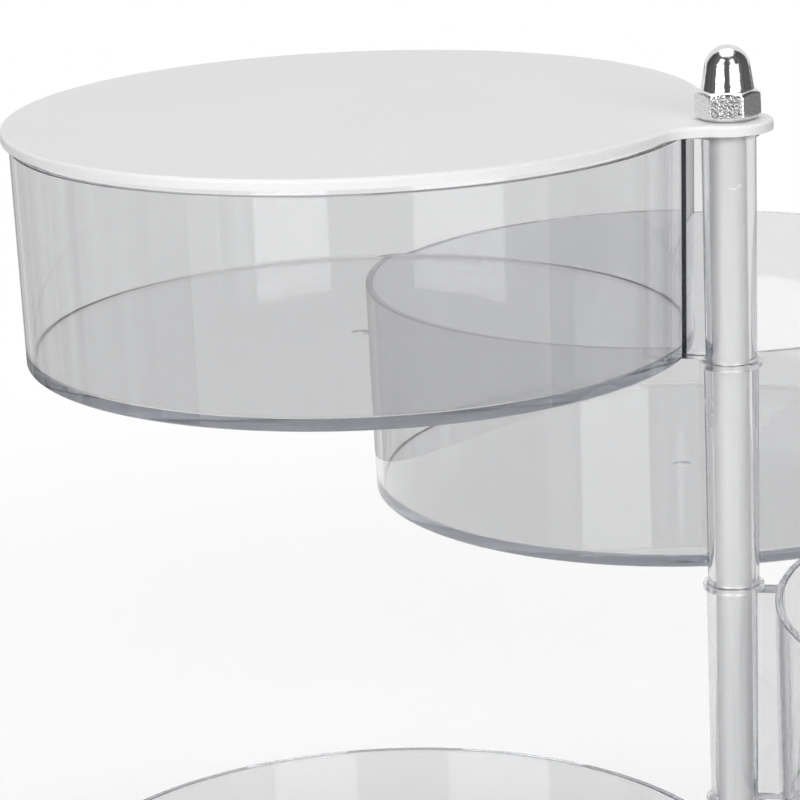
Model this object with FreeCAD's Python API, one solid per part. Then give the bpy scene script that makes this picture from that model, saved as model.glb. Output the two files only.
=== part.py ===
import FreeCAD, Part
import math
import os

# Rotating storage box: round clear trays that swivel on one side post, under a flat white lid.
# Millimetres. The post stands on the origin along Z, the table is z = 0, and the user looks along +Y.

# Trays: a round cup whose wall leans inwards a little towards its foot
tray_rim_radius = 48.7
tray_wall_lean = 0.4
tray_height = 31.4
tray_wall = 1.1
tray_floor = 1.5
base_floor = 4.0
rim_rounding = 0.3
foot_rounding = 0.25
inside_rounding = 0.4
gate_mark_radius = 1.5
gate_mark_depth = 0.2

# Sleeves: each tray hangs on the post by a web and an upright sleeve, which bears a round ejector mark;
# the mark's angle is counted from the tray's arm and its height from the tray's foot
sleeve_top_radius = 3.85
sleeve_lean = 0.2
sleeve_below_tray = 0.15
web_length = 2.15
web_thickness = 4.0
sleeve_mark_radius = 1.3
sleeve_mark_depth = 0.06
sleeve_mark_angle = 114.0
sleeve_mark_height = 26.0

# Where the lid and each tray point, in degrees about the post, counted from +X
lid_angle = 159.2
tray_1_angle = 159.7
tray_2_angle = 92.2
tray_3_angle = -12.2
base_tray_angle = 204.2

# Post: a smooth rod pressed into the base tray, with a threaded top end
rod_radius = 2.5
rod_end_chamfer = 0.4
running_clearance = 0.08
socket_floor = 2.0
socket_depth = 8.0
thread_radius = 2.25
thread_clearance = 0.02

# Spacer rings between the sleeves
spacer_radius = 4.35
spacer_thickness = 0.95
spacer_rounding = 0.3

# Lid: a flat disc with an ear round the post
lid_overhang = 1.3
lid_thickness = 1.45
lid_ear_radius = 6.2
lid_neck_rounding = 6.5
lid_edge_rounding = 0.5

# Domed nut on top, which bottoms on the rod's end and leaves the lid free to turn;
# its crown is the metal left over the thread
nut_across_flats = 8.0
nut_hex_height = 4.0
nut_height = 10.0
nut_crown = 2.5
nut_dome_radius = 3.15
nut_dome_taper = 9.0
nut_bearing_inset = 0.3
nut_chamfer_angle = 30.0
nut_play = 0.1
nut_angle = -8.5

# Sizes that follow from the ones above; the turning trays are listed from the bottom up
turning_trays = {"tray_3": tray_3_angle, "tray_2": tray_2_angle, "tray_1": tray_1_angle}
tray_foot_radius = tray_rim_radius - tray_wall_lean
sleeve_foot_radius = sleeve_top_radius - sleeve_lean
post_to_tray_centre = tray_rim_radius + web_length + sleeve_top_radius
lid_radius = tray_rim_radius + lid_overhang
bore_radius = rod_radius + running_clearance
tray_pitch = tray_height + spacer_thickness + sleeve_below_tray
top_rim = len(turning_trays) * tray_pitch + tray_height
lid_bottom = top_rim + spacer_thickness
lid_top = lid_bottom + lid_thickness
nut_bottom = lid_top + nut_play
thread_length = nut_height - nut_crown

HEXAGON_SIDES = 6
UP = FreeCAD.Vector(0, 0, 1)
POST_FOOT = FreeCAD.Vector(0, 0, 0)
ALONG_ARM = FreeCAD.Vector(1, 0, 0)
TRAY_CENTRE = ALONG_ARM * post_to_tray_centre


def line(start, end):
    return Part.LineSegment(start, end).toShape()


def cylinder(radius, bottom, top):
    """An upright cylinder on the post's axis."""
    return Part.makeCylinder(radius, top - bottom, UP * bottom)


def placed(shape, angle, height):
    """Turn a piece about the post and lift it to its place in the stack."""
    shape.rotate(POST_FOOT, UP, angle)
    shape.translate(UP * height)
    return shape


def turned(corners):
    """A solid turned about Z from a closed profile of (radius, height, rounding) corners."""
    spots = [FreeCAD.Vector(radius, 0, height) for radius, height, rounding in corners]
    edges = []
    ends = []
    for index, here in enumerate(spots):
        rounding = corners[index][2]
        if rounding == 0:
            ends.append((here, here))
            continue
        to_before = (spots[index - 1] - here).normalize()
        to_after = (spots[(index + 1) % len(spots)] - here).normalize()
        half_angle = to_before.getAngle(to_after) / 2
        setback = rounding / math.tan(half_angle)
        inwards = (to_before + to_after).normalize()
        middle = here + inwards * (rounding / math.sin(half_angle) - rounding)
        start = here + to_before * setback
        end = here + to_after * setback
        edges.append(Part.Arc(start, middle, end).toShape())
        ends.append((start, end))
    for index, (start, end) in enumerate(ends):
        edges.append(line(ends[index - 1][1], start))
    profile = Part.Face(Part.Wire(Part.__sortEdges__(edges)))
    return profile.revolve(POST_FOOT, UP, 360)


def cup_outside():
    """The cup filled in solid, its foot at height zero and its centre on the arm."""
    shape = turned([
        (0, 0, 0),
        (tray_foot_radius, 0, foot_rounding),
        (tray_rim_radius, tray_height, rim_rounding),
        (0, tray_height, 0),
    ])
    shape.translate(TRAY_CENTRE)
    return shape


def cup(floor):
    """The hollow cup: rounded rim and foot, and the shallow round gate mark under its floor."""
    shape = turned([
        (0, 0, 0),
        (tray_foot_radius, 0, foot_rounding),
        (tray_rim_radius, tray_height, rim_rounding),
        (tray_rim_radius - tray_wall, tray_height, rim_rounding),
        (tray_foot_radius - tray_wall, floor, inside_rounding),
        (0, floor, 0),
    ])
    dimple_radius = (gate_mark_radius ** 2 + gate_mark_depth ** 2) / (2 * gate_mark_depth)
    shape = shape.cut(Part.makeSphere(dimple_radius, UP * (gate_mark_depth - dimple_radius)))
    shape.translate(TRAY_CENTRE)
    return shape


def sleeve_form(bottom, depth):
    """The sleeve filled in solid, a little slimmer at its foot, with its side drawn in by a depth."""
    foot_radius = sleeve_foot_radius - depth
    return Part.makeCone(foot_radius, sleeve_top_radius - depth, tray_height - bottom, UP * bottom)


def holder(bottom):
    """The upright sleeve with its shallow ejector mark, and the rib that joins it to the cup."""
    pin = Part.makeCylinder(sleeve_mark_radius, 2 * sleeve_top_radius, UP * sleeve_mark_height, ALONG_ARM)
    pin.rotate(POST_FOOT, UP, sleeve_mark_angle)
    mark = pin.cut(sleeve_form(bottom, sleeve_mark_depth))
    sleeve = sleeve_form(bottom, 0).cut(mark)
    rib_corner = FreeCAD.Vector(0, -web_thickness / 2, 0)
    rib = Part.makeBox(post_to_tray_centre, web_thickness, tray_height, rib_corner)
    return sleeve.fuse(rib.cut(cup_outside()))


def upper_tray():
    """One of the three turning trays: its sleeve stands a little below its floor."""
    bottom = -sleeve_below_tray
    shape = holder(bottom).fuse(cup(tray_floor))
    shape = shape.cut(cylinder(bore_radius, bottom, tray_height))
    return shape.removeSplitter()


def base_tray():
    """The bottom tray: a heavier floor, a flush sleeve and a socket that grips the rod."""
    socket_top = socket_floor + socket_depth
    shape = holder(0).fuse(cup(base_floor))
    shape = shape.cut(cylinder(rod_radius, socket_floor, socket_top))
    shape = shape.cut(cylinder(bore_radius, socket_top, tray_height))
    return shape.removeSplitter()


def post_rod():
    """The smooth rod from the socket to the lid's top, then its threaded end, drawn plain."""
    rod_end = nut_bottom + thread_length
    return turned([
        (0, socket_floor, 0),
        (rod_radius - rod_end_chamfer, socket_floor, 0),
        (rod_radius, socket_floor + rod_end_chamfer, 0),
        (rod_radius, lid_top, 0),
        (thread_radius, lid_top, 0),
        (thread_radius, rod_end, 0),
        (0, rod_end, 0),
    ])


def spacer():
    """A thin ring with a rounded outer edge."""
    return turned([
        (bore_radius, 0, 0),
        (spacer_radius, 0, spacer_rounding),
        (spacer_radius, spacer_thickness, spacer_rounding),
        (bore_radius, spacer_thickness, 0),
    ])


def lid_outline():
    """A round disc and a round ear on the post, with a hollow neck on each side between them."""
    to_disc = lid_radius + lid_neck_rounding
    to_ear = lid_ear_radius + lid_neck_rounding
    along = (to_ear ** 2 - to_disc ** 2 + post_to_tray_centre ** 2) / (2 * post_to_tray_centre)
    across = math.sqrt(to_ear ** 2 - along ** 2)
    ear_ends = []
    disc_ends = []
    edges = []
    for side in (1, -1):
        neck = FreeCAD.Vector(along, side * across, 0)
        ear_end = neck * (lid_ear_radius / to_ear)
        disc_end = TRAY_CENTRE + (neck - TRAY_CENTRE) * (lid_radius / to_disc)
        towards_lid = ((ear_end + disc_end) / 2 - neck).normalize()
        edges.append(Part.Arc(ear_end, neck + towards_lid * lid_neck_rounding, disc_end).toShape())
        ear_ends.append(ear_end)
        disc_ends.append(disc_end)
    ear_tip = FreeCAD.Vector(-lid_ear_radius, 0, 0)
    disc_tip = TRAY_CENTRE + FreeCAD.Vector(lid_radius, 0, 0)
    edges.append(Part.Arc(ear_ends[0], ear_tip, ear_ends[1]).toShape())
    edges.append(Part.Arc(disc_ends[0], disc_tip, disc_ends[1]).toShape())
    return Part.Face(Part.Wire(Part.__sortEdges__(edges)))


def lid():
    """The flat lid with its rounded top edge, bored for the post."""
    shape = lid_outline().extrude(UP * lid_thickness)
    top_edges = [edge for edge in shape.Edges if edge.BoundBox.ZMin > lid_thickness / 2]
    shape = shape.makeFillet(lid_edge_rounding, top_edges)
    return shape.cut(cylinder(bore_radius, 0, lid_thickness))


def cap_nut():
    """A hexagon nut, chamfered above and below, with a tapered dome, bored blind from below."""
    flat_radius = nut_across_flats / 2
    corner_radius = flat_radius / math.cos(math.pi / HEXAGON_SIDES)
    bearing_radius = flat_radius - nut_bearing_inset
    first_corner = FreeCAD.Vector(corner_radius, 0, 0)
    turns = [FreeCAD.Rotation(UP, 360 * side / HEXAGON_SIDES) for side in range(HEXAGON_SIDES)]
    corners = [turn.multVec(first_corner) for turn in turns]
    prism = Part.Face(Part.makePolygon(corners, True)).extrude(UP * nut_hex_height)
    drop = (corner_radius - bearing_radius) * math.tan(math.radians(nut_chamfer_angle))
    chamfered = turned([
        (0, 0, 0),
        (bearing_radius, 0, 0),
        (corner_radius, drop, 0),
        (corner_radius, nut_hex_height - drop, 0),
        (bearing_radius, nut_hex_height, 0),
        (0, nut_hex_height, 0),
    ])
    taper = math.radians(nut_dome_taper)
    ball_height = nut_height - nut_dome_radius
    seam_height = ball_height + nut_dome_radius * math.sin(taper)
    seam_radius = nut_dome_radius * math.cos(taper)
    foot_radius = seam_radius + (seam_height - nut_hex_height) * math.tan(taper)
    dome = Part.makeCone(foot_radius, seam_radius, seam_height - nut_hex_height, UP * nut_hex_height)
    dome = dome.fuse(Part.makeSphere(nut_dome_radius, UP * ball_height))
    shape = prism.common(chamfered).fuse(dome).removeSplitter()
    return shape.cut(cylinder(thread_radius + thread_clearance, 0, thread_length))


def main():
    pieces = {
        "base_tray": placed(base_tray(), base_tray_angle, 0),
        "lid": placed(lid(), lid_angle, lid_bottom),
        "cap_nut": placed(cap_nut(), nut_angle, nut_bottom),
        "post_rod": post_rod(),
    }
    for tier, (name, angle) in enumerate(turning_trays.items(), start=1):
        pieces[name] = placed(upper_tray(), angle, tier * tray_pitch)
    tiers = len(turning_trays) + 1
    for tier in range(tiers):
        name = "spacer_" + str(tiers - tier)
        pieces[name] = placed(spacer(), 0, tier * tray_pitch + tray_height)
    os.makedirs("parts", exist_ok=True)
    for name, shape in pieces.items():
        shape.exportStep("parts/" + name + ".step")


main()
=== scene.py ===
import math
from collections import namedtuple

import bmesh
import bpy
from mathutils import Matrix, Vector


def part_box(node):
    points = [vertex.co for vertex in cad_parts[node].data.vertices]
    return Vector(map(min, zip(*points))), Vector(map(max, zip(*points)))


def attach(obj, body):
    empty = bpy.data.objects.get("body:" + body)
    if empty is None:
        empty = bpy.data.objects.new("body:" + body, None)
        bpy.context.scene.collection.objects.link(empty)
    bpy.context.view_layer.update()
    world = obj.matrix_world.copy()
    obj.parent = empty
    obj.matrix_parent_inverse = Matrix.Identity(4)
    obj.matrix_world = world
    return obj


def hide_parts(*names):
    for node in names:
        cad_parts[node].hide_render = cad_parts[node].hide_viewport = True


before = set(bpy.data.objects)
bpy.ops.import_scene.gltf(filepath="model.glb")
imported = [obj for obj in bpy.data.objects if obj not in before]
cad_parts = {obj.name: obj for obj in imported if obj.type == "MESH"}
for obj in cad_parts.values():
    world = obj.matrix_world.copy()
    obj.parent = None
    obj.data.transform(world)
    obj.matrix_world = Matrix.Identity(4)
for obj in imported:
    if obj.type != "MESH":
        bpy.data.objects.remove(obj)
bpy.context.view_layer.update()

# Rotating storage box: clear round trays that swivel on one side post, under a white lid.
# Metres, in the construction's own frame: the post stands on the origin, the table is z = 0,
# and the photograph looks along +Y with +X to the right.

MM = 0.001

# Noise: how many layers of detail a soft, a plain and a fine one has
SOFT_DETAIL = 2.0
PLAIN_DETAIL = 3.0
FINE_DETAIL = 4.0

# Camera: where it stands, how far it looks down, how far it is rolled, and its lens on a 36 mm sensor
CAMERA_PLACE = Vector((-46.18, -437.72, 214.07)) * MM
CAMERA_DOWN = math.radians(15.41)
CAMERA_ROLL = math.radians(2.35)
CAMERA_LENS = 146.68
CAMERA_SENSOR = 36.0
CAMERA_NEAREST = 10 * MM

# Clear plastic: what one wall lets through, which is partly the plastic's own grey and partly painted shade
# that makes the walls read grey against the white, what one face lets through to light what is behind it,
# its refraction, how fast long paths inside it go blue-grey, and its faint upright waves and haze
CLEAR_TINT_AND_PAINTED_SHADE = (0.8, 0.802, 0.806, 1.0)
CLEAR_SHADOW = (0.98, 0.98, 0.98, 1.0)
CLEAR_IOR = 1.52
CLEAR_ABSORPTION = (0.42, 0.436, 0.50, 1.0)
CLEAR_DENSITY = 18.0
WAVE_SCALE = 60.0
WAVE_STRETCH = (1.0, 1.0, 0.12)
WAVE_HEIGHT = 0.02 * MM
HAZE_SCALE = 900.0
HAZE_ROUGHNESS = (0.0, 0.03)

# White plastic: its slightly uneven tone, and a very fine mould grain
WHITE_TONES = (0.78, 0.81)
WHITE_TONE_SCALE = 40.0
WHITE_GLOSS = 0.4
GRAIN_SCALE = 4000.0
GRAIN_HEIGHT = 0.01 * MM
GRAIN_STRENGTH = 0.4
GRAIN_ROUGHNESS = (0.42, 0.52)

# Chrome: smears in its polish, and forged dents, which are full on the hexagon and slight on the dome
CHROME_COLOUR = (0.9, 0.905, 0.91, 1.0)
SMEAR_SCALE = 2500.0
SMEAR_ROUGHNESS = (0.06, 0.12)
DENT_SCALE = 2400.0
DENT_DEPTH = 0.1 * MM
DENT_SHARES = (1.0, 0.2)
DENT_FADE = 0.5 * MM

# Satin rod under a matt skin, with fine lines along its length
ROD_TONES = (0.67, 0.75)
ROD_METALLIC = 0.4
LINE_SCALE = 3000.0
LINE_STRETCH = (1.0, 1.0, 0.02)
LINE_HEIGHT = 0.005 * MM
LINE_STRENGTH = 0.4
LINE_ROUGHNESS = (0.5, 0.6)

# Trays: where each one points about the post, in degrees from +X, and the body that it turns with
TRAY_ANGLES = {"tray_1": 159.7, "tray_2": 92.2, "tray_3": -12.2, "base_tray": 204.2}
TRAY_BODY = {"tray_1": "tray_1", "tray_2": "tray_2", "tray_3": "tray_3", "base_tray": "base"}
ARM_LENGTH = 54.7 * MM
RIM_RADIUS = 48.68 * MM
WALL_LEAN = 0.4 * MM
WALL = 1.1 * MM
UPPER_FLOOR = 1.5 * MM
BASE_FLOOR = 4.0 * MM
RIM_ROUNDING = 0.15 * MM
FOOT_ROUNDING = 0.25 * MM
INSIDE_ROUNDING = 0.4 * MM
GATE_RADIUS = 1.5 * MM
GATE_DEPTH = 0.3 * MM

# Sleeves and the webs that carry the trays; the ejector mark's angle is counted from the tray's arm
SLEEVE_TOP_RADIUS = 3.85 * MM
SLEEVE_LEAN = 0.2 * MM
SLEEVE_BORE = 2.58 * MM
SLEEVE_BELOW = 0.15 * MM
SLEEVE_ROUNDING = 0.06 * MM
SOCKET_FLOOR = 1.98 * MM
SOCKET_TOP = 10.0 * MM
SOCKET_RADIUS = 2.5 * MM
MARK_RADIUS = 1.3 * MM
MARK_DEPTH = 0.05 * MM
MARK_EDGE = 0.08 * MM
MARK_HEIGHT = 26.0 * MM
MARK_ANGLE = math.radians(114)
WEB_THICKNESS = 4.0 * MM
WEB_ROUNDING = 0.25 * MM
WEB_INSET = 0.05 * MM
WEB_START = 2.95 * MM

# Rings between the sleeves: the body that each one turns with, and the hair's breadth it stands clear
SPACER_BODY = {"spacer_1": "tray_1", "spacer_2": "tray_2", "spacer_3": "tray_3", "spacer_4": "base"}
RING_BORE = 2.58 * MM
RING_ROUNDING = 0.2 * MM
RING_CLEAR = 0.02 * MM

# Rod and domed nut
ROD_RADIUS = 2.49 * MM
ROD_CHAMFER = 0.4 * MM
THREAD_RADIUS = 2.25 * MM
NUT_ACROSS_FLATS = 8.0 * MM
NUT_HEX_HEIGHT = 4.0 * MM
NUT_DOME_RADIUS = 3.15 * MM
NUT_DOME_TAPER = math.radians(9)
NUT_BEARING_RADIUS = 3.7 * MM
NUT_BORE_RADIUS = 2.3 * MM
NUT_BORE_DEPTH = 7.5 * MM
NUT_CHAMFER = math.radians(30)
NUT_TURN = math.radians(-8.5)
NUT_DRAFT = math.radians(1.5)
NUT_EDGE = 0.16 * MM
NUT_SIXTH = math.pi / 3

# How finely round shapes are drawn, how close to an arc a point holds the flat beside it flat,
# and the angle from which an edge is drawn sharp
CUP_STEPS = 320
SLEEVE_STEPS = 288
ROUND_STEPS = 144
ARC_STEPS = 8
MARK_ROWS = 48
NUT_SIDE_STEPS = 40
NUT_DOME_STEPS = 32
SCREEN_STEPS = 48
FLAT_HOLD = 0.04 * MM
SHARP_ANGLE = math.radians(35)

# Light levels: the world for the object's shading, and white for what the camera and clear parts see
WORLD_LEVEL = 0.33
WHITE_LEVEL = 1.0

# Bounces enough for a look through four walls and along a tray's floor
CLEAR_BOUNCES = 32

# Floor: half its width, how far it lies below the object, its matt grey, the glow that lifts it where
# it is seen, and the distances from the post between which it fades to white
FLOOR_HALF = 3.0
FLOOR_DROP = 0.15 * MM
FLOOR_GREY = (0.75, 0.75, 0.75, 1.0)
FLOOR_GLOW = 0.3
FLOOR_FADE = (0.1, 0.4)

# Cloths, which are painted reflections: sheets that glow unlit between their darkest and palest grey, met
# only by mirror bounces, and how many upright folds they have to a metre
Cloth = namedtuple("Cloth", "dark pale folds")
CLOTHS = {
    "dark_painted_reflection": Cloth(dark=0.02, pale=0.2, folds=2.5),
    "folded_painted_reflection": Cloth(dark=0.0, pale=0.65, folds=30.0),
    "grey_painted_reflection": Cloth(dark=0.08, pale=0.35, folds=12.0),
    "pale_painted_reflection": Cloth(dark=0.9, pale=1.6, folds=6.0),
}
FOLD_STRETCH = (1.0, 1.0, 0.05)

# Screens about the post, which paint dark and pale reflections in chrome and clear walls: radius, heights,
# and the angles between which each one stands, in degrees from the camera's side to the right
Screen = namedtuple("Screen", "radius low high start end cloth")
SCREENS = {
    "far_screen": Screen(radius=1.6, low=0.02, high=3.0, start=-130, end=130, cloth="dark_painted_reflection"),
    # The low front screen paints a dark reflection, a painted shade, along the top of the upper tray's wall
    # under the lid.
    "front_screen": Screen(radius=0.44, low=0.044, high=0.12, start=-30, end=20, cloth="dark_painted_reflection"),
    "left_screen": Screen(radius=0.3, low=0.0, high=0.12, start=-172, end=-60, cloth="folded_painted_reflection"),
    "right_screen": Screen(radius=0.3, low=0.0, high=0.12, start=60, end=172, cloth="grey_painted_reflection"),
    "left_upper_screen": Screen(radius=1.05, low=0.57, high=1.4, start=-57, end=-22, cloth="pale_painted_reflection"),
    "right_upper_screen": Screen(radius=1.05, low=0.57, high=1.4, start=10, end=39, cloth="pale_painted_reflection"),
}

# Lamps: the point that they look at, how far off they stand, and for the upright ones how far they are
# raised, their height, and each one's angle to the right in degrees, its width and its radiance
LAMP_AIM = Vector((-20, 0, 90)) * MM
LAMP_REACH = 1.1
LAMP_RISE = math.radians(13)
LAMP_HEIGHT = 0.45
Lamp = namedtuple("Lamp", "degrees width radiance")
UPRIGHT_LAMPS = {
    "softbox_left": Lamp(degrees=-40, width=0.71, radiance=5.3),
    "softbox_right": Lamp(degrees=24.5, width=0.57, radiance=5.7),
    "softbox_side": Lamp(degrees=48.5, width=0.25, radiance=1.2),
}
TOP_LAMP_BACK = 0.1
TOP_LAMP_PLACE = LAMP_AIM + Vector((0, TOP_LAMP_BACK, LAMP_REACH))
TOP_LAMP_SIDE = 0.8
TOP_LAMP_RADIANCE = 3.45


def node_material(name):
    """A new node material and its tree, with only the output in it."""
    material = bpy.data.materials.new(name)
    material.use_nodes = True
    tree = material.node_tree
    tree.nodes.clear()
    output = tree.nodes.new("ShaderNodeOutputMaterial")
    return material, tree, output


def noise(tree, scale, detail, stretch=(1.0, 1.0, 1.0)):
    """Noise in the object's own coordinates, stretched along an axis by a small factor there."""
    place = tree.nodes.new("ShaderNodeTexCoord")
    mapping = tree.nodes.new("ShaderNodeMapping")
    mapping.inputs["Scale"].default_value = stretch
    texture = tree.nodes.new("ShaderNodeTexNoise")
    texture.inputs["Scale"].default_value = scale
    texture.inputs["Detail"].default_value = detail
    tree.links.new(place.outputs["Object"], mapping.inputs["Vector"])
    tree.links.new(mapping.outputs["Vector"], texture.inputs["Vector"])
    return texture.outputs["Fac"]


def spread(tree, value, bounds, from_low=0.3, from_high=0.7):
    """Map a value, such as noise with its usual low and high, to the range between two bounds."""
    node = tree.nodes.new("ShaderNodeMapRange")
    node.inputs["From Min"].default_value = from_low
    node.inputs["From Max"].default_value = from_high
    node.inputs["To Min"].default_value = bounds[0]
    node.inputs["To Max"].default_value = bounds[1]
    tree.links.new(value, node.inputs["Value"])
    return node.outputs["Result"]


def bump(tree, value, distance, strength=1.0):
    """A normal that is raised by a value, up to a distance."""
    node = tree.nodes.new("ShaderNodeBump")
    node.inputs["Strength"].default_value = strength
    node.inputs["Distance"].default_value = distance
    tree.links.new(value, node.inputs["Height"])
    return node.outputs["Normal"]


def grey_tones(tree, value, tones):
    """A grey between two tones."""
    ramp = tree.nodes.new("ShaderNodeValToRGB")
    for element, tone in zip(ramp.color_ramp.elements, tones):
        element.color = (tone, tone, tone, 1.0)
    tree.links.new(value, ramp.inputs["Fac"])
    return ramp.outputs["Color"]


def combined(tree, operation, first, second):
    """Two values put together by a math operation."""
    node = tree.nodes.new("ShaderNodeMath")
    node.operation = operation
    tree.links.new(first, node.inputs[0])
    tree.links.new(second, node.inputs[1])
    return node.outputs["Value"]


def mixed(tree, share, first, second):
    """The first shader where the share is 0, and the second where it is 1."""
    node = tree.nodes.new("ShaderNodeMixShader")
    tree.links.new(share, node.inputs["Fac"])
    tree.links.new(first, node.inputs[1])
    tree.links.new(second, node.inputs[2])
    return node.outputs["Shader"]


def principled(tree, **values):
    """A Principled shader with constant values set on its own sockets."""
    shader = tree.nodes.new("ShaderNodeBsdfPrincipled")
    for socket, value in values.items():
        shader.inputs[socket.replace("_", " ")].default_value = value
    return shader


def clear_plastic(name):
    """Clear moulded plastic: faint waves, a little haze, and blue-grey where light travels far inside it."""
    material, tree, output = node_material(name)
    # Base colour: the plastic's tint, partly its own grey and partly painted shade.
    shader = principled(tree, Base_Color=CLEAR_TINT_AND_PAINTED_SHADE, IOR=CLEAR_IOR, Transmission_Weight=1.0)
    waves = noise(tree, WAVE_SCALE, SOFT_DETAIL, WAVE_STRETCH)
    haze = noise(tree, HAZE_SCALE, FINE_DETAIL)
    tree.links.new(spread(tree, haze, HAZE_ROUGHNESS), shader.inputs["Roughness"])
    tree.links.new(bump(tree, waves, WAVE_HEIGHT), shader.inputs["Normal"])
    see_through = tree.nodes.new("ShaderNodeBsdfTransparent")
    see_through.inputs["Color"].default_value = CLEAR_SHADOW
    path = tree.nodes.new("ShaderNodeLightPath")
    both = mixed(tree, path.outputs["Is Shadow Ray"], shader.outputs["BSDF"], see_through.outputs["BSDF"])
    tree.links.new(both, output.inputs["Surface"])
    absorb = tree.nodes.new("ShaderNodeVolumeAbsorption")
    absorb.inputs["Color"].default_value = CLEAR_ABSORPTION
    absorb.inputs["Density"].default_value = CLEAR_DENSITY
    tree.links.new(absorb.outputs["Volume"], output.inputs["Volume"])
    return material


def white_plastic(name):
    """Satin white plastic with a very fine mould texture."""
    material, tree, output = node_material(name)
    shader = principled(tree, Specular_IOR_Level=WHITE_GLOSS)
    tone = noise(tree, WHITE_TONE_SCALE, PLAIN_DETAIL)
    tree.links.new(grey_tones(tree, tone, WHITE_TONES), shader.inputs["Base Color"])
    grain = noise(tree, GRAIN_SCALE, SOFT_DETAIL)
    tree.links.new(spread(tree, grain, GRAIN_ROUGHNESS), shader.inputs["Roughness"])
    tree.links.new(bump(tree, grain, GRAIN_HEIGHT, GRAIN_STRENGTH), shader.inputs["Normal"])
    tree.links.new(shader.outputs["BSDF"], output.inputs["Surface"])
    return material


def chrome(name, hex_top):
    """Chrome plate, nearly smooth on the dome and over rough forged flats below the hexagon's top."""
    material, tree, output = node_material(name)
    shader = principled(tree, Base_Color=CHROME_COLOUR, Metallic=1.0)
    smears = noise(tree, SMEAR_SCALE, FINE_DETAIL)
    tree.links.new(spread(tree, smears, SMEAR_ROUGHNESS), shader.inputs["Roughness"])
    place = tree.nodes.new("ShaderNodeTexCoord")
    axes = tree.nodes.new("ShaderNodeSeparateXYZ")
    tree.links.new(place.outputs["Object"], axes.inputs["Vector"])
    forged = spread(tree, axes.outputs["Z"], DENT_SHARES, hex_top - DENT_FADE, hex_top)
    dents = combined(tree, "MULTIPLY", noise(tree, DENT_SCALE, PLAIN_DETAIL), forged)
    tree.links.new(bump(tree, dents, DENT_DEPTH), shader.inputs["Normal"])
    tree.links.new(shader.outputs["BSDF"], output.inputs["Surface"])
    return material


def satin_steel(name):
    """Pale satin rod under a matt oxide skin: fine drawn lines along its length."""
    material, tree, output = node_material(name)
    shader = principled(tree, Metallic=ROD_METALLIC)
    lines = noise(tree, LINE_SCALE, FINE_DETAIL, LINE_STRETCH)
    tree.links.new(grey_tones(tree, lines, ROD_TONES), shader.inputs["Base Color"])
    tree.links.new(spread(tree, lines, LINE_ROUGHNESS), shader.inputs["Roughness"])
    tree.links.new(bump(tree, lines, LINE_HEIGHT, LINE_STRENGTH), shader.inputs["Normal"])
    tree.links.new(shader.outputs["BSDF"], output.inputs["Surface"])
    return material


def placed(name, mesh):
    """A new object of a mesh in the scene."""
    piece = bpy.data.objects.new(name, mesh)
    bpy.context.scene.collection.objects.link(piece)
    return piece


def finished(name, shape):
    """A mesh out of a bmesh, with its faces turned outwards."""
    bmesh.ops.recalc_face_normals(shape, faces=shape.faces)
    mesh = bpy.data.meshes.new(name)
    shape.to_mesh(mesh)
    shape.free()
    return mesh


def rounded(corners):
    """Profile points of (radius, height, rounding) corners, with an arc in place of each rounded corner."""
    spots = [Vector((radius, height)) for radius, height, rounding in corners]
    points = []
    for index, here in enumerate(spots):
        rounding = corners[index][2]
        if rounding == 0:
            points.append(here)
            continue
        before = (spots[index - 1] - here).normalized()
        after = (spots[(index + 1) % len(spots)] - here).normalized()
        half = before.angle(after) / 2
        middle = here + (before + after).normalized() * (rounding / math.sin(half))
        start = here + before * (rounding / math.tan(half)) - middle
        end = here + after * (rounding / math.tan(half)) - middle
        sweep = start.angle_signed(end)
        points.append(middle + start + before * FLAT_HOLD)
        for step in range(ARC_STEPS + 1):
            turn = Matrix.Rotation(-sweep * step / ARC_STEPS, 2)
            points.append(middle + turn @ start)
        points.append(middle + end + after * FLAT_HOLD)
    return points


def turned_rows(shape, profile, radius_at, steps):
    """One row of vertices about Z for each profile point, or a single vertex for a point on the axis."""
    rows = []
    for radius, height in profile:
        if radius == 0:
            rows.append([shape.verts.new((0, 0, height))])
            continue
        row = []
        for step in range(steps):
            turn = 2 * math.pi * step / steps
            reach = radius_at(radius, height, turn) if radius_at else radius
            row.append(shape.verts.new((reach * math.cos(turn), reach * math.sin(turn), height)))
        rows.append(row)
    return rows


def turned_mesh(name, profile, closed, radius_at=None, steps=ROUND_STEPS):
    """A mesh turned about Z from profile points of radius and height. A closed profile makes a ring,
    and an open one starts and ends on the axis. radius_at may change a point's radius with its angle."""
    shape = bmesh.new()
    rows = turned_rows(shape, profile, radius_at, steps)
    pairs = list(zip(rows, rows[1:]))
    if closed:
        pairs.append((rows[-1], rows[0]))
    for low, high in pairs:
        for step in range(steps):
            after = (step + 1) % steps
            if len(low) == 1:
                corners = (low[0], high[after], high[step])
            elif len(high) == 1:
                corners = (low[step], low[after], high[0])
            else:
                corners = (low[step], low[after], high[after], high[step])
            shape.faces.new(corners)
    mesh = finished(name, shape)
    mesh.shade_smooth()
    mesh.set_sharp_from_angle(angle=SHARP_ANGLE)
    return placed(name, mesh)


def stand_for(piece, node, body, material):
    """Let a piece stand for its node, move with its body and wear its finish."""
    piece.data.materials.append(material)
    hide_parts(node)
    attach(piece, body)


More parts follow.
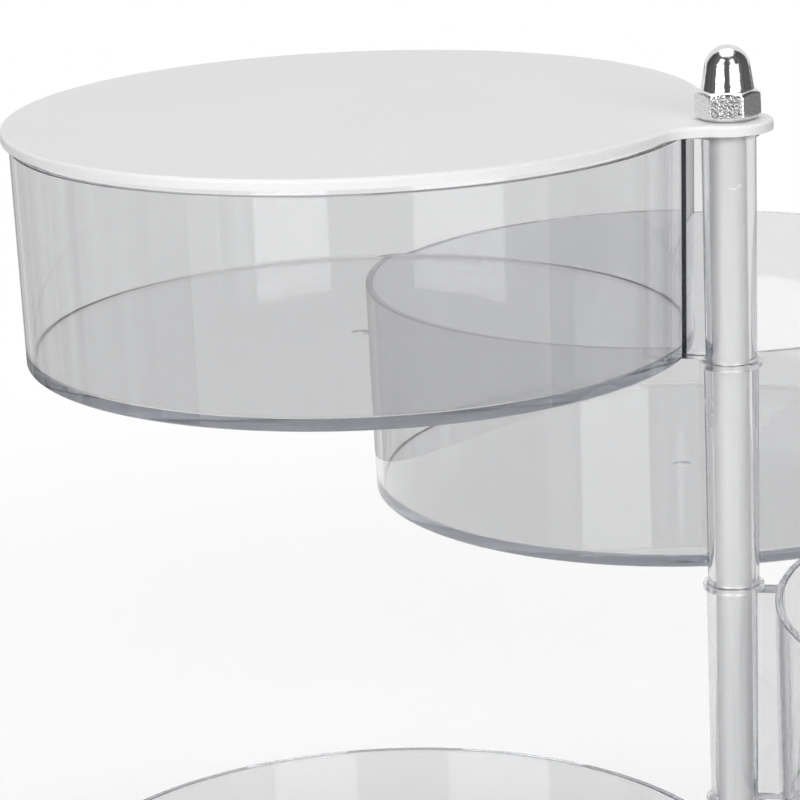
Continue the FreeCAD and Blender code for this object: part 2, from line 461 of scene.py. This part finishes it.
def cup(height, floor):
    """The round cup at its arm's end: leaning wall, rounded rim and foot, and the gate mark's dimple."""
    foot_radius = RIM_RADIUS - WALL_LEAN
    ball = (GATE_RADIUS ** 2 + GATE_DEPTH ** 2) / (2 * GATE_DEPTH)
    corners = []
    for step in range(ARC_STEPS + 1):
        turn = math.asin(GATE_RADIUS / ball) * step / ARC_STEPS
        corners.append((ball * math.sin(turn), GATE_DEPTH - ball * (1 - math.cos(turn)), 0))
    corners += [
        (GATE_RADIUS + FLAT_HOLD, 0, 0),
        (foot_radius, 0, FOOT_ROUNDING),
        (RIM_RADIUS, height, RIM_ROUNDING),
        (RIM_RADIUS - WALL, height, RIM_ROUNDING),
        (foot_radius - WALL, floor, INSIDE_ROUNDING),
        (0, floor, 0),
    ]
    shape = turned_mesh("cup", rounded(corners), closed=False, steps=CUP_STEPS)
    shape.data.transform(Matrix.Translation((ARM_LENGTH, 0, 0)))
    return shape


def web(height):
    """The rib between sleeve and cup: an upright plate with rounded edges, its ends inside both walls."""
    half = WEB_THICKNESS / 2
    section = rounded([
        (-half, WEB_INSET, WEB_ROUNDING),
        (half, WEB_INSET, WEB_ROUNDING),
        (half, height - WEB_INSET, WEB_ROUNDING),
        (-half, height - WEB_INSET, WEB_ROUNDING),
    ])
    shape = bmesh.new()
    near = [shape.verts.new((WEB_START, across, up)) for across, up in section]
    far = []
    for across, up in section:
        cup_side = ARM_LENGTH - RIM_RADIUS + WALL_LEAN * (height - up) / height
        far.append(shape.verts.new((cup_side + WALL / 2, across, up)))
    for index in range(len(section)):
        before = index - 1
        shape.faces.new((near[before], near[index], far[index], far[before]))
    shape.faces.new(near)
    shape.faces.new(far)
    return placed("web", finished("web", shape))


def sleeve(bottom, height, blind):
    """The upright sleeve, a little slimmer at its foot, with a shallow round ejector mark on its side.
    A blind one, at the base, is closed below the rod's socket."""
    foot_radius = SLEEVE_TOP_RADIUS - SLEEVE_LEAN
    corners = [(foot_radius, bottom, SLEEVE_ROUNDING)]
    for step in range(MARK_ROWS + 1):
        row = MARK_HEIGHT + (MARK_RADIUS + MARK_EDGE) * (2 * step / MARK_ROWS - 1)
        corners.append((foot_radius + SLEEVE_LEAN * (row - bottom) / (height - bottom), row, 0))
    corners += [(SLEEVE_TOP_RADIUS, height, SLEEVE_ROUNDING), (SLEEVE_BORE, height, 0)]
    if blind:
        corners.insert(0, (0, bottom, 0))
        corners += [
            (SLEEVE_BORE, SOCKET_TOP, 0),
            (SOCKET_RADIUS, SOCKET_TOP, 0),
            (SOCKET_RADIUS, SOCKET_FLOOR, 0),
            (0, SOCKET_FLOOR, 0),
        ]
    else:
        corners.append((SLEEVE_BORE, bottom, 0))

    def reach(radius, up, turn):
        if radius < foot_radius - SLEEVE_ROUNDING:
            return radius
        off_mark = (turn - MARK_ANGLE + math.pi) % (2 * math.pi) - math.pi
        inside = MARK_RADIUS - math.hypot(radius * off_mark, up - MARK_HEIGHT)
        return radius - MARK_DEPTH * min(max(inside / MARK_EDGE, 0), 1)

    return turned_mesh("sleeve", rounded(corners), closed=not blind, radius_at=reach, steps=SLEEVE_STEPS)


def joined(pieces):
    """One watertight mesh out of pieces that overlap."""
    for other in pieces[1:]:
        union = pieces[0].modifiers.new("union", "BOOLEAN")
        union.operation = "UNION"
        union.solver = "EXACT"
        union.object = other
    graph = bpy.context.evaluated_depsgraph_get()
    mesh = bpy.data.meshes.new_from_object(pieces[0].evaluated_get(graph))
    for piece in pieces:
        bpy.data.objects.remove(piece)
    return mesh


def make_trays(material):
    """The four trays, each one moulding of cup, web and sleeve."""
    for node, degrees in TRAY_ANGLES.items():
        low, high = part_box(node)
        is_base = node == "base_tray"
        foot = low.z if is_base else low.z + SLEEVE_BELOW
        height = high.z - foot
        floor = BASE_FLOOR if is_base else UPPER_FLOOR
        mesh = joined([cup(height, floor), web(height), sleeve(low.z - foot, height, is_base)])
        stand_for(placed(node + "_moulded", mesh), node, TRAY_BODY[node], material)
        mesh.shade_smooth()
        mesh.set_sharp_from_angle(angle=SHARP_ANGLE)
        mesh.transform(Matrix.Translation((0, 0, foot)) @ Matrix.Rotation(math.radians(degrees), 4, "Z"))


def make_rings(material):
    """Thin clear rings with rounded edges, a hair's breadth clear of the sleeves above and below."""
    for node, body in SPACER_BODY.items():
        low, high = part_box(node)
        bottom = low.z + RING_CLEAR
        top = high.z - RING_CLEAR
        ring = turned_mesh(node + "_ring", rounded([
            (RING_BORE, bottom, 0),
            (high.x, bottom, RING_ROUNDING),
            (high.x, top, RING_ROUNDING),
            (RING_BORE, top, 0),
        ]), closed=True)
        stand_for(ring, node, body, material)


def make_rod(material):
    """The drawn rod, chamfered at its foot, with its threaded end drawn plain."""
    low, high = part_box("post_rod")
    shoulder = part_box("lid")[1].z
    rod = turned_mesh("post_rod_turned", rounded([
        (0, low.z, 0),
        (ROD_RADIUS - ROD_CHAMFER, low.z, 0),
        (ROD_RADIUS, low.z + ROD_CHAMFER, 0),
        (ROD_RADIUS, shoulder, 0),
        (THREAD_RADIUS, shoulder, 0),
        (THREAD_RADIUS, high.z, 0),
        (0, high.z, 0),
    ]), closed=False)
    stand_for(rod, "post_rod", "base", material)


def soft_min(values, edge):
    """The least of some lengths, eased where two of them meet, so that an edge comes out rounded."""
    least = min(values)
    return least - edge * math.log(sum(math.exp((least - value) / edge) for value in values))


def nut_reach(bottom):
    """How far the nut reaches at an angle: its hexagon in place of a round side, with worn edges."""
    flat = NUT_ACROSS_FLATS / 2
    slope = 1 / math.tan(NUT_CHAMFER)

    def reach(radius, height, turn):
        if radius < flat:
            return radius
        above = height - bottom
        off_flat = (turn - NUT_TURN) % NUT_SIXTH - NUT_SIXTH / 2
        side = (flat - above * math.tan(NUT_DRAFT)) / math.cos(off_flat)
        foot = NUT_BEARING_RADIUS + above * slope
        head = NUT_BEARING_RADIUS + (NUT_HEX_HEIGHT - above) * slope
        return soft_min((side, foot, head), NUT_EDGE)

    return reach


def nut_profile(bottom, top):
    """The nut's outline from its bore round its side and over its tapered dome."""
    flat = NUT_ACROSS_FLATS / 2
    hex_top = bottom + NUT_HEX_HEIGHT
    centre = top - NUT_DOME_RADIUS
    seam_radius = NUT_DOME_RADIUS * math.cos(NUT_DOME_TAPER)
    seam_height = centre + NUT_DOME_RADIUS * math.sin(NUT_DOME_TAPER)
    points = [(0, bottom + NUT_BORE_DEPTH), (NUT_BORE_RADIUS, bottom + NUT_BORE_DEPTH)]
    points.append((NUT_BORE_RADIUS, bottom))
    for step in range(NUT_SIDE_STEPS + 1):
        points.append((flat, bottom + NUT_HEX_HEIGHT * step / NUT_SIDE_STEPS))
    for step in range(NUT_DOME_STEPS):
        height = hex_top + (seam_height - hex_top) * step / NUT_DOME_STEPS
        points.append((seam_radius + (seam_height - height) * math.tan(NUT_DOME_TAPER), height))
    for step in range(NUT_DOME_STEPS):
        turn = NUT_DOME_TAPER + (math.pi / 2 - NUT_DOME_TAPER) * step / NUT_DOME_STEPS
        points.append((NUT_DOME_RADIUS * math.cos(turn), centre + NUT_DOME_RADIUS * math.sin(turn)))
    points.append((0, top))
    return points


def make_nut(material):
    """A domed hexagon nut with worn, rounded edges, bored from below."""
    low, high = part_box("cap_nut")
    profile = nut_profile(low.z, high.z)
    nut = turned_mesh("cap_nut_forged", profile, closed=False, radius_at=nut_reach(low.z))
    stand_for(nut, "cap_nut", "base", material)


def dress(names, material):
    """Give carried-over pieces their finish."""
    for name in names:
        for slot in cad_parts[name].material_slots:
            slot.material = material


def seen_directly(tree):
    """1 for camera rays, mirror rays and rays through clear parts, and 0 for the light on the object."""
    path = tree.nodes.new("ShaderNodeLightPath")
    mirrored = combined(tree, "MAXIMUM", path.outputs["Is Camera Ray"], path.outputs["Is Glossy Ray"])
    return combined(tree, "MAXIMUM", mirrored, path.outputs["Is Transmission Ray"])


def make_world():
    """A plain world: white where it is seen, and dimmer where it lights the object."""
    world = bpy.data.worlds.new("studio")
    bpy.context.scene.world = world
    world.use_nodes = True
    tree = world.node_tree
    tree.nodes.clear()
    output = tree.nodes.new("ShaderNodeOutputWorld")
    background = tree.nodes.new("ShaderNodeBackground")
    level = spread(tree, seen_directly(tree), (WORLD_LEVEL, WHITE_LEVEL), 0.0, 1.0)
    tree.links.new(level, background.inputs["Strength"])
    tree.links.new(background.outputs["Background"], output.inputs["Surface"])


def floor_fade(tree):
    """0 near the post and 1 further off, eased between."""
    place = tree.nodes.new("ShaderNodeTexCoord")
    distance = tree.nodes.new("ShaderNodeVectorMath")
    distance.operation = "LENGTH"
    tree.links.new(place.outputs["Object"], distance.inputs[0])
    fade = tree.nodes.new("ShaderNodeMapRange")
    fade.interpolation_type = "SMOOTHSTEP"
    fade.inputs["From Min"].default_value = FLOOR_FADE[0]
    fade.inputs["From Max"].default_value = FLOOR_FADE[1]
    tree.links.new(distance.outputs["Value"], fade.inputs["Value"])
    return fade.outputs["Result"]


def pale_floor(name):
    """A matt pale floor that holds the object's shadow near by, and is plain white further off."""
    material, tree, output = node_material(name)
    direct = seen_directly(tree)
    matt = tree.nodes.new("ShaderNodeBsdfDiffuse")
    matt.inputs["Color"].default_value = FLOOR_GREY
    glow = tree.nodes.new("ShaderNodeEmission")
    tree.links.new(spread(tree, direct, (0.0, FLOOR_GLOW), 0.0, 1.0), glow.inputs["Strength"])
    lit = tree.nodes.new("ShaderNodeAddShader")
    tree.links.new(matt.outputs["BSDF"], lit.inputs[0])
    tree.links.new(glow.outputs["Emission"], lit.inputs[1])
    white = tree.nodes.new("ShaderNodeEmission")
    white.inputs["Strength"].default_value = WHITE_LEVEL
    shown = combined(tree, "MULTIPLY", direct, floor_fade(tree))
    both = mixed(tree, shown, lit.outputs["Shader"], white.outputs["Emission"])
    tree.links.new(both, output.inputs["Surface"])
    return material


def make_floor():
    """The floor that the object stands on."""
    half = FLOOR_HALF
    mesh = bpy.data.meshes.new("floor")
    corners = [(-half, -half, 0), (half, -half, 0), (half, half, 0), (-half, half, 0)]
    mesh.from_pydata(corners, [], [(0, 1, 2, 3)])
    mesh.materials.append(pale_floor("pale_floor"))
    floor = placed("floor", mesh)
    floor.location.z = -FLOOR_DROP


def cloth(name):
    """Uneven cloth in upright folds that glows unlit between two levels of grey, a painted reflection of
    dark and pale surroundings. Only a path with a mirror bounce in it meets it, and others pass through."""
    dark, pale, folds = CLOTHS[name]
    material, tree, output = node_material(name)
    uneven = noise(tree, folds, PLAIN_DETAIL, FOLD_STRETCH)
    glow = tree.nodes.new("ShaderNodeEmission")
    tree.links.new(spread(tree, uneven, (dark, pale)), glow.inputs["Strength"])
    clear_way = tree.nodes.new("ShaderNodeBsdfTransparent")
    path = tree.nodes.new("ShaderNodeLightPath")
    both = mixed(tree, path.outputs["Glossy Depth"], clear_way.outputs["BSDF"], glow.outputs["Emission"])
    tree.links.new(both, output.inputs["Surface"])
    return material


def make_screen(name, screen, material):
    """A curved screen about the post, met only by mirror bounces, whose painted reflection gives chrome and
    gloss their depth.
    """
    start = math.radians(screen.start)
    end = math.radians(screen.end)
    points = []
    for step in range(SCREEN_STEPS + 1):
        turn = start + (end - start) * step / SCREEN_STEPS
        for height in (screen.low, screen.high):
            points.append((screen.radius * math.sin(turn), -screen.radius * math.cos(turn), height))
    faces = [(2 * step, 2 * step + 1, 2 * step + 3, 2 * step + 2) for step in range(SCREEN_STEPS)]
    mesh = bpy.data.meshes.new(name)
    mesh.from_pydata(points, [], faces)
    mesh.materials.append(material)
    piece = placed(name, mesh)
    piece.visible_camera = False
    piece.visible_diffuse = False
    piece.visible_transmission = False
    piece.visible_shadow = False


def make_screens():
    """All the screens, each hung with its glowing cloth of painted reflection."""
    materials = {name: cloth(name) for name in CLOTHS}
    for name, screen in SCREENS.items():
        make_screen(name, screen, materials[screen.cloth])


def softbox(name, place, width, height, radiance):
    """A rectangular lamp that looks at the object, as bright per area as radiance says."""
    data = bpy.data.lights.new(name, "AREA")
    data.shape = "RECTANGLE"
    data.size = width
    data.size_y = height
    data.energy = radiance * math.pi * width * height
    lamp = placed(name, data)
    lamp.location = place
    lamp.rotation_euler = (LAMP_AIM - place).to_track_quat("-Z", "Y").to_euler()
    lamp.visible_camera = False


def make_lights():
    """Soft boxes in front, to the left and right, and one overhead."""
    for name, lamp in UPRIGHT_LAMPS.items():
        turn = math.radians(lamp.degrees)
        towards = Vector((math.sin(turn), -math.cos(turn), math.tan(LAMP_RISE)))
        softbox(name, LAMP_AIM + towards * LAMP_REACH, lamp.width, LAMP_HEIGHT, lamp.radiance)
    softbox("softbox_top", TOP_LAMP_PLACE, TOP_LAMP_SIDE, TOP_LAMP_SIDE, TOP_LAMP_RADIANCE)


def make_camera():
    """The camera at the photograph's place and angle."""
    data = bpy.data.cameras.new("camera")
    data.lens = CAMERA_LENS
    data.sensor_width = CAMERA_SENSOR
    data.clip_start = CAMERA_NEAREST
    camera = placed("camera", data)
    level = Matrix.Rotation(math.pi / 2 - CAMERA_DOWN, 4, "X")
    camera.matrix_world = Matrix.Translation(CAMERA_PLACE) @ level @ Matrix.Rotation(-CAMERA_ROLL, 4, "Z")
    bpy.context.scene.camera = camera


def set_render(scene):
    """Plain colours, and paths long enough for clear parts behind one another."""
    scene.view_settings.view_transform = "Standard"
    scene.cycles.max_bounces = CLEAR_BOUNCES
    scene.cycles.transmission_bounces = CLEAR_BOUNCES
    scene.cycles.glossy_bounces = CLEAR_BOUNCES
    scene.cycles.transparent_max_bounces = CLEAR_BOUNCES


clear = clear_plastic("clear_plastic_finish")
make_trays(clear)
dress(["lid"], white_plastic("white_plastic_finish"))
make_rings(clear)
make_rod(satin_steel("satin_steel_finish"))
make_nut(chrome("chrome_finish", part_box("cap_nut")[0].z + NUT_HEX_HEIGHT))

make_world()
make_floor()
make_screens()
make_lights()
make_camera()
set_render(bpy.context.scene)
